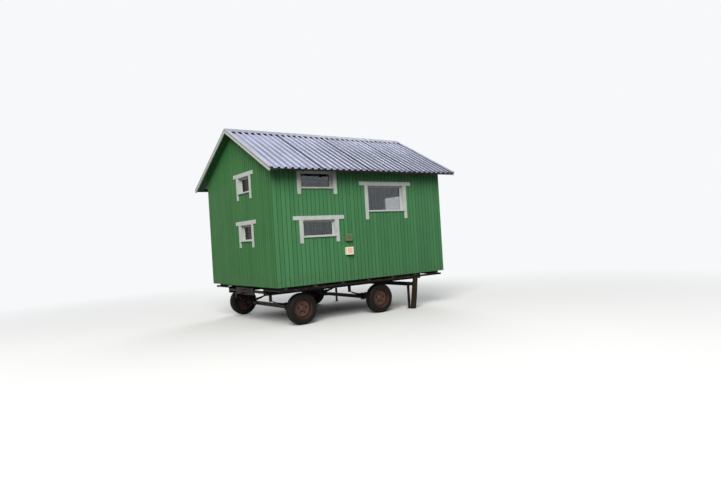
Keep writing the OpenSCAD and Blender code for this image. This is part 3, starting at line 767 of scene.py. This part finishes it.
for name, (wall, mid, width, sill, tall, tail, over) in windows.items():
    put = on_wall(wall)
    outward = put.to_3x3() @ Vector((0, -1, 0))
    casing = bmesh.new()
    reach = width / 2 + trim_w + over
    block(casing, (mid - reach, -trim_t, sill + tall), (mid + reach, 0, sill + tall + trim_w), 0.0022)
    for side in (-1, 1):
        x0, x1 = sorted((mid + side * width / 2, mid + side * (width / 2 + trim_w)))
        block(casing, (x0, -trim_t + 0.0006, sill - tail), (x1, 0, sill + tall - 0.0006), 0.0022)
        for z in (sill - tail + 0.035, sill + 0.12, sill + tall - 0.045):
            for x in (x0 + 0.018, x1 - 0.018):
                nail_places.append((put @ Vector((x, -trim_t + 0.0006, z)), outward))
    sill_form(casing, mid - width / 2 + 0.0004, mid + width / 2 - 0.0004, sill)
    steps = 4 if width < 0.8 else 5
    for k in range(steps + 1):
        x = mid + (reach - 0.03) * (2 * k / steps - 1)
        for z in (sill + tall + 0.018, sill + tall + trim_w - 0.018):
            nail_places.append((put @ Vector((x, -trim_t, z)), outward))
    bmesh.ops.transform(casing, matrix=put, verts=casing.verts)
    casing = mesh_object(name + "_boards", casing, white_paint)
    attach(casing, "root")
    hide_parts(name)
fixings("casing_nails", nail_places, nail_head, white_paint)

# Window frames
# A lining board round each opening with the sash inside it: two upright stiles,
# two rails between them, and a glazing bead that slopes down to the glass.

sash_face, sash_back, sash_w = 0.050, 0.086, 0.032
glass_face = 0.066


def bead(shape, mid, low, high, width, tall, sill):
    """Adds four sloping bars that meet at the corners in front of the glass."""
    corners = [(mid - width / 2, sill), (mid + width / 2, sill),
               (mid + width / 2, sill + tall), (mid - width / 2, sill + tall)]
    inward = [(1, 1), (-1, 1), (-1, -1), (1, -1)]
    rings = []
    for inset, depth in ((-0.001, low), (-0.001, high), (0.011, high), (0.011, high - 0.003), (0.003, low)):
        rings.append([shape.verts.new((x + inset * u, depth, z + inset * v))
                      for (x, z), (u, v) in zip(corners, inward)])
    for a in range(5):
        one, two = rings[a], rings[(a + 1) % 5]
        for k in range(4):
            n = (k + 1) % 4
            shape.faces.new((one[k], one[n], two[n], two[k]))


sashes = {wall: bmesh.new() for wall in wall_turns}
for wall, mid, width, sill, tall, tail, over in windows.values():
    shape = sashes[wall]
    left, right, top = mid - width / 2, mid + width / 2, sill + tall
    for x0, x1 in ((left, left + 0.009), (right - 0.009, right)):
        block(shape, (x0, -trim_t + 0.004, sill + 0.034), (x1, 0.088, top), 0.001)
    block(shape, (left + 0.009, -trim_t + 0.004, top - 0.009), (right - 0.009, 0.088, top), 0.001)
    block(shape, (left, sash_face + 0.001, sill), (right, 0.088, sill + 0.009), 0.001)
    for x0, x1 in ((left + 0.010, left + sash_w), (right - sash_w, right - 0.010)):
        block(shape, (x0, sash_face, sill + 0.010), (x1, sash_back, top - 0.010), 0.0018)
    for z0, z1 in ((sill + 0.010, sill + sash_w), (top - sash_w, top - 0.010)):
        block(shape, (left + sash_w, sash_face + 0.0004, z0), (right - sash_w, sash_back, z1), 0.0018)
    bead(shape, mid, sash_face + 0.004, glass_face, width - 2 * sash_w, tall - 2 * sash_w, sill + sash_w)
for wall, shape in sashes.items():
    bmesh.ops.transform(shape, matrix=on_wall(wall), verts=shape.verts)
    piece = mesh_object("sashes_" + wall + "_frames", shape, white_paint)
    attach(piece, "root")
    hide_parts("sashes_" + wall)

# Panes
# Single panes of float glass, held against the sashes by the beads. The room
# behind them is unlit, so they look dark beside the paint, except where daylight
# comes through the right gable's pane. Each group of panes has its own tint: the
# left gable's and back wall's are tinted nearly black, painted shade and dark
# reflection, and every pane tints its reflections blue, a painted sky.


def window_glass(name, tint, bending):
    coat = Finish(name, 0.0, shine=0.5)
    dust = coat.span(coat.cloud((0.20, 0.20, 0.12), 5.0), 0.35, 0.70, 0.93, 1.0)
    coat.give("Base Color", coat.brightened(tint, dust))
    coat.give("IOR", bending)
    # Painted reflection: the blue specular tint stands in for sky in the reflections.
    coat.give("Specular Tint", (0.86, 0.94, 1.0))
    coat.give("Transmission Weight", 1.0)
    return coat.material


coat_nodes(window_glass("window glass", (0.80, 0.80, 0.79), 1.6), "panes_front")
coat_nodes(window_glass("clear glass", (0.47, 0.50, 0.53), 1.5), "panes_right")
# Painted shade and dark reflection: these panes are tinted nearly black.
coat_nodes(window_glass("glass with painted shade", (0.12, 0.11, 0.09), 1.19), "panes_left", "panes_back")

# Door
# A ledged door of the same chamfered boards, green like the walls, hung in a
# white lining on three strap hinges, with a lever handle on a plate.

coat_nodes(white_paint, "door_casing")
leaf_low, leaf_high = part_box("door_leaf")
leaf_w = leaf_high.x - leaf_low.x
leaf_pitch = (leaf_w - 0.006) / 8
ledge_heights = (0.22, 0.95, 1.66)
leaf_green = green_paint("green paint door", "X", leaf_low.x, leaf_pitch)
leaf = grown(
    "door_boards", bpy.data.meshes.new("door"), board_tree,
    Board=vee_board("door board", leaf_pitch, leaf_high.z - leaf_low.z - 0.008, 180), Count=8,
    First=Vector((leaf_high.x - 0.003 - leaf_pitch / 2, leaf_high.y - board_out, leaf_low.z + 0.004)),
    Step=Vector((-leaf_pitch, 0, 0)), Loose=Vector((0, 0.0003, 0)), Seed=3, Finish=leaf_green)
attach(leaf, "root")
backing = bmesh.new()
block(backing, (leaf_low.x + 0.002, leaf_low.y, leaf_low.z + 0.003),
      (leaf_high.x - 0.002, leaf_high.y - board_out - 0.001, leaf_high.z - 0.002), 0.001)
for z in ledge_heights:
    block(backing, (leaf_low.x + 0.02, leaf_low.y - 0.020, leaf_low.z + z - 0.05),
          (leaf_high.x - 0.02, leaf_low.y + 0.004, leaf_low.z + z + 0.05), 0.004)
backing = mesh_object("door_ledges", backing, leaf_green)
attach(backing, "root")
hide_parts("door_leaf")
hinges = bmesh.new()
strap_places = []
hinge_x = leaf_high.x
for z in ledge_heights:
    height = leaf_low.z + z
    face = leaf_high.y
    strap = [(0.0, 0.020), (-0.02, 0.020), (-0.30, 0.011), (-0.315, 0.0), (-0.30, -0.011),
             (-0.02, -0.020), (0.0, -0.020)]
    skinned(hinges, [[hinges.verts.new((hinge_x + x, y, height + h)) for x, h in strap]
                     for y in (face, face + 0.004)])
    rod(hinges, [(hinge_x + 0.004, face + 0.006, height + h) for h in (-0.032, 0.032)], 0.007, 12)
    block(hinges, (hinge_x + 0.008, face, height - 0.030),
          (hinge_x + 0.052, face + 0.004, height + 0.030), 0.001)
    for x in (-0.035, -0.12, -0.20, -0.28):
        strap_places.append(((hinge_x + x, face + 0.004, height), (0, 1, 0)))
hinges = mesh_object("door_hinges", hinges, black_steel)
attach(hinges, "root")
fixings("hinge_screws", strap_places, nail_head, black_steel)
coat_nodes(black_steel, "door_handle")

# Roof sheets
# Ribbed steel sheets with a zinc coat gone pale and a little violet with age.
# Each covers 1.1 metres and laps its neighbour over one rib, and all are screwed
# to the laths through rubber washers.


def aged_zinc(name, colour, metallic, rough, ribbed=False, leg=None):
    coat = Finish(name, rough, metallic)
    tone = coat.span(coat.cloud((0.09, 0.9, 0.5), 6.0), 0.3, 0.72, 0.86, 1.10)
    skin = coat.brightened(colour, tone)
    spangle = coat.span(coat.cloud((0.012, 0.012, 0.012), 2.0, 6.0), 0.35, 0.65, 0.95, 1.05)
    skin = coat.brightened(skin, spangle)
    dirt = coat.maths("MULTIPLY", coat.span(coat.cloud((0.035, 0.6, 0.35), 6.0, 2.5), 0.50, 0.76, 0.0, 0.5),
                      coat.span(coat.cloud((1.3, 1.3, 1.3), 3.0, 9.0), 0.35, 0.65))
    skin = coat.blend(dirt, skin, (0.150, 0.145, 0.150))
    if ribbed:
        ribs = coat.maths("ADD", coat.maths("DIVIDE", coat.along("X"), rib_pitch), 0.5)
        past = coat.maths("MULTIPLY", coat.maths("SUBTRACT", coat.maths("FRACT", ribs), 0.5), rib_pitch)
        # Painted highlight and shade: the crests of the ribs are brightened and the troughs darkened.
        painted_crest_light = coat.span(coat.maths("ABSOLUTE", past), 0.016, 0.026, 1.06, 0.93)
        skin = coat.brightened(skin, painted_crest_light)
        # Painted shade on one flank of each rib and the trough beside it, stronger towards the eave and
        # towards +X.
        foot = coat.maths("MULTIPLY", coat.span(past, -0.050, -0.038), coat.span(past, -0.016, -0.026))
        low = coat.maths("MULTIPLY", coat.span(coat.along("Z"), 3.95, 3.35, 0.40, 0.88),
                         coat.span(coat.along("X"), -1.8, -0.2, 0.6, 1.0))
        skin = coat.blend(coat.maths("MULTIPLY", foot, low), skin, (0.070, 0.072, 0.092))
        # Painted shadow: a dark line along each lap, where a sheet's edge lies over its neighbour's rib.
        sheets = coat.maths("DIVIDE", coat.maths("ADD", coat.along("X"), 0.043), 8 * rib_pitch)
        sheets = coat.maths("FRACT", coat.maths("ADD", sheets, 0.5))
        lap = coat.maths("ABSOLUTE", coat.maths("SUBTRACT", sheets, 0.5))
        lap = coat.maths("MULTIPLY", lap, 8 * rib_pitch)
        skin = coat.blend(coat.span(lap, 0.018, 0.008, 0.0, 0.95), skin, (0.014, 0.014, 0.022))
        # Painted shade in the troughs just below the ridge cap.
        pan = coat.span(coat.maths("ABSOLUTE", past), 0.022, 0.030)
        painted_under_cap_shade = coat.maths("MULTIPLY", pan, coat.span(coat.along("Z"), 3.878, 3.888, 0.0, 0.97))
        skin = coat.blend(painted_under_cap_shade, skin, (0.010, 0.010, 0.013))
    if leg:
        hangs = coat.span(coat.maths("ABSOLUTE", coat.along("X")), 2.2876, 2.2884)
        drop = coat.maths("MULTIPLY", coat.maths("ABSOLUTE", coat.along("Y")), math.tan(slope))
        drop = coat.maths("SUBTRACT", coat.maths("ADD", coat.along("Z"), drop), apex_z + 0.006)
        # Painted shadow: a dark line along the leg of each verge strip.
        painted_edge_shadow = coat.span(coat.maths("ABSOLUTE", drop), 0.010, 0.006)
        skin = coat.blend(hangs, skin, coat.blend(painted_edge_shadow, leg, (0.060, 0.065, 0.065)))
    coat.give("Base Color", skin)
    coat.give("Roughness", coat.span(tone, 0.86, 1.10, rough + 0.10, rough - 0.05))
    coat.relief(coat.cloud((0.05, 0.4, 0.25), 3.0), 0.0010)
    return coat.material


rib_pitch, rib_h, rib_top, rib_foot, sheet_t = 0.140, 0.030, 0.040, 0.074, 0.002
sheet_zinc = aged_zinc("sheet zinc", (0.425, 0.455, 0.610), 0.20, 0.50, True)
coat_nodes(sheet_zinc, "roof_front", "roof_back")
slope_l = 1.935 / math.cos(slope)


def on_slope(side):
    """Places a form drawn with X along the hut, Y down the slope and Z off the sheets."""
    down = Vector((0, side * math.cos(slope), -math.sin(slope)))
    out = Vector((0, side * math.sin(slope), math.cos(slope)))
    return Matrix((
        (1, down.x, out.x, 0), (0, down.y, out.y, 0), (0, down.z, out.z, apex_z), (0, 0, 0, 1)))


laps = bmesh.new()
for side in (-1, 1):
    for middle in (-8, 0, 8):
        x = middle * rib_pitch
        run = [(x - rib_foot / 2 - 0.012, sheet_t), (x - rib_foot / 2, sheet_t),
               (x - rib_top / 2, sheet_t + rib_h), (x + rib_top / 2, sheet_t + rib_h),
               (x + rib_foot / 2, sheet_t), (x + rib_foot / 2 + 0.024, sheet_t)]
        skin = [(u, v + 0.0016) for u, v in run]
        skin[-1] = (skin[-1][0], sheet_t + 0.0012)
        outline = skin + [(u, v - 0.0004) for u, v in reversed(run)]
        skinned(laps, [[laps.verts.new(on_slope(side) @ Vector((u, down, v))) for u, v in outline]
                       for down in (0.10, slope_l - 0.0015)])
laps = mesh_object("sheet_laps", laps, sheet_zinc)
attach(laps, "root")

roof_screw = bmesh.new()
turned(roof_screw, [(0.0095, -0.0005), (0.0095, 0.0022), (0.0088, 0.0030)], 14)
turned(roof_screw, [(0.0052, 0.0030), (0.0052, 0.0078), (0.0044, 0.0088)], 6)
roof_screw = template("roof screw", roof_screw)
screw_plan = Plan("screw rows", Screw="Object", Columns="Int", Rows="Int", Width="Float", Length="Float",
                  Slide="Vector", Tilt="Vector", Ridge="Vector", Finish="Material")
grid = screw_plan.add("GeometryNodeMeshGrid", {
    "Size X": screw_plan.given["Width"], "Size Y": screw_plan.given["Length"],
    "Vertices X": screw_plan.given["Columns"], "Vertices Y": screw_plan.given["Rows"]})
flat = screw_plan.add("GeometryNodeTransform", {"Geometry": grid, "Translation": screw_plan.given["Slide"]})
screw_shape = screw_plan.add("GeometryNodeObjectInfo", {"Object": screw_plan.given["Screw"]})
screw_shape = screw_shape.node.outputs["Geometry"]
row = screw_plan.add("GeometryNodeInstanceOnPoints", {"Points": flat, "Instance": screw_shape})
tilt = screw_plan.add("FunctionNodeEulerToRotation", {"Euler": screw_plan.given["Tilt"]})
tilted = screw_plan.add("GeometryNodeTransform", {
    "Geometry": row, "Rotation": tilt, "Translation": screw_plan.given["Ridge"]})
screw_tree = screw_plan.close(tilted)
screw_zinc = aged_zinc("screw zinc", (0.30, 0.30, 0.33), 0.6, 0.42)
lath_step = (slope_l - 0.060 - 0.020 - 0.060) / 4
for side in (-1, 1):
    rows = grown(
        "roof_screws_" + ("front" if side < 0 else "back"), bpy.data.meshes.new("screws"), screw_tree,
        Screw=roof_screw, Columns=16, Rows=5, Width=30 * rib_pitch, Length=4 * lath_step,
        Slide=Vector((0.0, side * (0.09 + 2 * lath_step), rib_h + sheet_t)),
        Tilt=Vector((-side * slope, 0, 0)), Ridge=Vector((0, 0, apex_z)), Finish=screw_zinc)
    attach(rows, "root")

# Eave boards
# Dark sawn boards on edge, nailed along the lowest laths. They close the space
# under the sheets' lower edges and stop a little below them.

eave_boards = bmesh.new()
for side in (-1, 1):
    out_face, in_face, depth = slope_l - 0.038, slope_l - 0.060, 0.050
    shell = bmesh.new()
    block(shell, (-2.264, in_face, -depth), (2.264, out_face, -0.0005), 0.0015)
    bmesh.ops.transform(shell, matrix=on_slope(side), verts=shell.verts)
    strip = bpy.data.meshes.new("strip")
    shell.to_mesh(strip)
    shell.free()
    eave_boards.from_mesh(strip)
eave_boards = mesh_object("eave_boards", eave_boards, lath_timber)
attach(eave_boards, "root")

# Ridge cap and verge flashings
# Folded strips of the same steel, screwed through the ribs: a cap over the ridge,
# and pale angle strips from the outer ribs down over the barge boards, each with a
# painted shadow line along it.

coat_nodes(aged_zinc("ridge zinc", (0.32, 0.335, 0.395), 0.25, 0.5), "ridge_cap")
verge_zinc = aged_zinc("verge zinc", (0.385, 0.41, 0.525), 0.2, 0.5, leg=(0.47, 0.49, 0.46))
coat_nodes(verge_zinc, "verge_flashings")
cap_places = []
cap_top = rib_h + sheet_t + 0.002
for side in (-1, 1):
    put = on_slope(side)
    off_roof = put.to_3x3() @ Vector((0, 0, 1))
    for k in range(-15, 16, 2):
        cap_places.append((put @ Vector((k * rib_pitch, 0.14, cap_top)), off_roof))
    for end in (-1, 1):
        for k in range(5):
            cap_places.append((put @ Vector((end * 16 * rib_pitch, 0.30 + 0.44 * k, cap_top)), off_roof))
fixings("cap_screws", cap_places, roof_screw, screw_zinc)

# Barge boards and soffits
# Planed boards along both verges, painted a paler off-white than the casings and
# greyed by rain, with green boards under the laths between them and the gables,
# whose green is the gables' dimmed to 0.7 as painted shade.

coat_nodes(white_gloss("barge paint", 0.35, (0.55, 0.57, 0.53)), "barge_boards")
# The soffits' green is dimmed to 0.7: painted shade under the verges.
coat_nodes(green_paint("green paint soffit", "Y", 0.0, 0.11, 0.7), "verge_soffits")

# Hung boxes
# Two small open boxes, screwed to the long wall. The lower one is pale, with a
# warm panel in a cream frame, and the upper one is bare wood gone green.


def box_wood(name, colour, dark):
    coat = Finish(name, 0.6)
    grain = coat.cloud((0.10, 0.006, 0.006), 4.0)
    tone = coat.blend(coat.span(grain, 0.3, 0.7), colour, dark)
    stain = coat.span(coat.cloud((0.03, 0.03, 0.03), 5.0, 3.0), 0.5, 0.8, 0.0, 0.3)
    coat.give("Base Color", coat.blend(stain, tone, [c * 0.6 for c in dark]))
    coat.relief(grain, 0.0006)
    return coat.material


def hung_box(name, node, frame_coat, panel_coat):
    low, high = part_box(node)
    t, rail = 0.012, 0.020
    body, panel = bmesh.new(), bmesh.new()
    block(body, (low.x, low.y + 0.004, low.z), (low.x + t, high.y, high.z), 0.001)
    block(body, (high.x - t, low.y + 0.004, low.z), (high.x, high.y, high.z), 0.001)
    block(body, (low.x + t, low.y + 0.004, low.z), (high.x - t, high.y, low.z + t), 0.001)
    block(body, (low.x + t, high.y - t, low.z + t), (high.x - t, high.y, high.z), 0.001)
    for x0, x1 in ((low.x, low.x + rail), (high.x - rail, high.x)):
        block(body, (x0, low.y, low.z), (x1, low.y + 0.006, high.z), 0.001)
    for z0, z1 in ((low.z, low.z + rail), (high.z - rail, high.z)):
        block(body, (low.x + rail, low.y + 0.0003, z0), (high.x - rail, low.y + 0.006, z1), 0.001)
    middle = (low.z + high.z) / 2
    tuck = rail - 0.004
    for z0, z1 in ((low.z + tuck, middle - 0.0005), (middle + 0.0005, high.z - tuck)):
        block(panel, (low.x + tuck, low.y + 0.0035, z0), (high.x - tuck, low.y + t, z1), 0.001)
    body = mesh_object(name + "_frame", body, frame_coat)
    panel = mesh_object(name + "_panel", panel, panel_coat)
    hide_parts(node)
    for piece in (body, panel):
        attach(piece, "root")


hung_box("lower_box", "wall_box", box_wood("cream wood", (0.90, 0.84, 0.68), (0.78, 0.70, 0.52)),
         box_wood("warm wood", (0.82, 0.54, 0.41), (0.70, 0.43, 0.31)))
hung_box("top_box", "upper_box", box_wood("greened wood", (0.150, 0.215, 0.105), (0.100, 0.150, 0.065)),
         box_wood("brown wood", (0.130, 0.150, 0.072), (0.085, 0.100, 0.045)))

# Floor and light
# A plain pale floor that runs out into a white background. Metal and glass mirror
# that background. A large soft lamp stands high beyond the left front corner, and
# a weak one behind fills the far sides.

background, evenly_lit = (0.93, 0.94, 0.95, 1.0), (0.45, 0.46, 0.48, 1.0)


def light_share(tree, *rays):
    """One where the ray is of any of these kinds, and nought elsewhere."""
    paths = tree.nodes.new("ShaderNodeLightPath").outputs
    share = paths[rays[0]]
    for ray in rays[1:]:
        node = tree.nodes.new("ShaderNodeMath")
        node.operation = "MAXIMUM"
        tree.links.new(share, node.inputs[0])
        tree.links.new(paths[ray], node.inputs[1])
        share = node.outputs[0]
    return share


floor = bmesh.new()
bmesh.ops.create_grid(floor, x_segments=1, y_segments=1, size=60.0)
floor = mesh_object("studio_floor", floor)
studio = Finish("studio floor", 0.9, shine=0.0)
in_view = light_share(studio.tree, "Is Camera Ray", "Is Glossy Ray", "Is Transmission Ray")
studio.give("Base Color", studio.blend(in_view, (0.17, 0.17, 0.165), (0.78, 0.78, 0.77)))
out_x, out_y = studio.along("X"), studio.along("Y")
squares = studio.maths("ADD", studio.maths("MULTIPLY", out_x, out_x), studio.maths("MULTIPLY", out_y, out_y))
share = studio.maths("MULTIPLY", studio.span(studio.maths("SQRT", squares), 4.5, 13.0), in_view)
glow = studio.tree.nodes.new("ShaderNodeEmission")
glow.inputs["Color"].default_value = background
merge = studio.tree.nodes.new("ShaderNodeMixShader")
studio.tree.links.new(share, merge.inputs[0])
studio.tree.links.new(studio.shader.outputs[0], merge.inputs[1])
studio.tree.links.new(glow.outputs[0], merge.inputs[2])
studio.tree.links.new(merge.outputs[0], studio.tree.nodes["Material Output"].inputs["Surface"])
floor.data.materials.append(studio.material)

world = bpy.data.worlds.new("studio")
world.use_nodes = True
bpy.context.scene.world = world
air = world.node_tree
seen = air.nodes.new("ShaderNodeMix")
seen.data_type = "RGBA"
air.links.new(light_share(air, "Is Camera Ray", "Is Glossy Ray", "Is Transmission Ray"), seen.inputs[0])
seen.inputs[6].default_value = evenly_lit
seen.inputs[7].default_value = background
air.links.new(seen.outputs[2], air.nodes["Background"].inputs["Color"])
air.nodes["Background"].inputs["Strength"].default_value = 1.0


def soft_lamp(name, size, energy, place, tone=(1.0, 1.0, 1.0)):
    """A round area lamp that faces the middle of the hut."""
    light = bpy.data.lights.new(name, "AREA")
    light.shape = "DISK"
    light.size = size
    light.energy = energy
    light.color = tone
    lamp = bpy.data.objects.new(name, light)
    bpy.context.scene.collection.objects.link(lamp)
    lamp.location = place
    lamp.rotation_euler = (Vector((0, 0, 1.8)) - lamp.location).to_track_quat("-Z", "Y").to_euler()


soft_lamp("soft key", 16.0, 7700.0, (-14.6, -17.2, 16.0), (1.0, 0.985, 0.95))
soft_lamp("weak fill", 9.0, 1100.0, (10.0, 11.0, 9.0))

bpy.context.scene.view_settings.view_transform = "Standard"
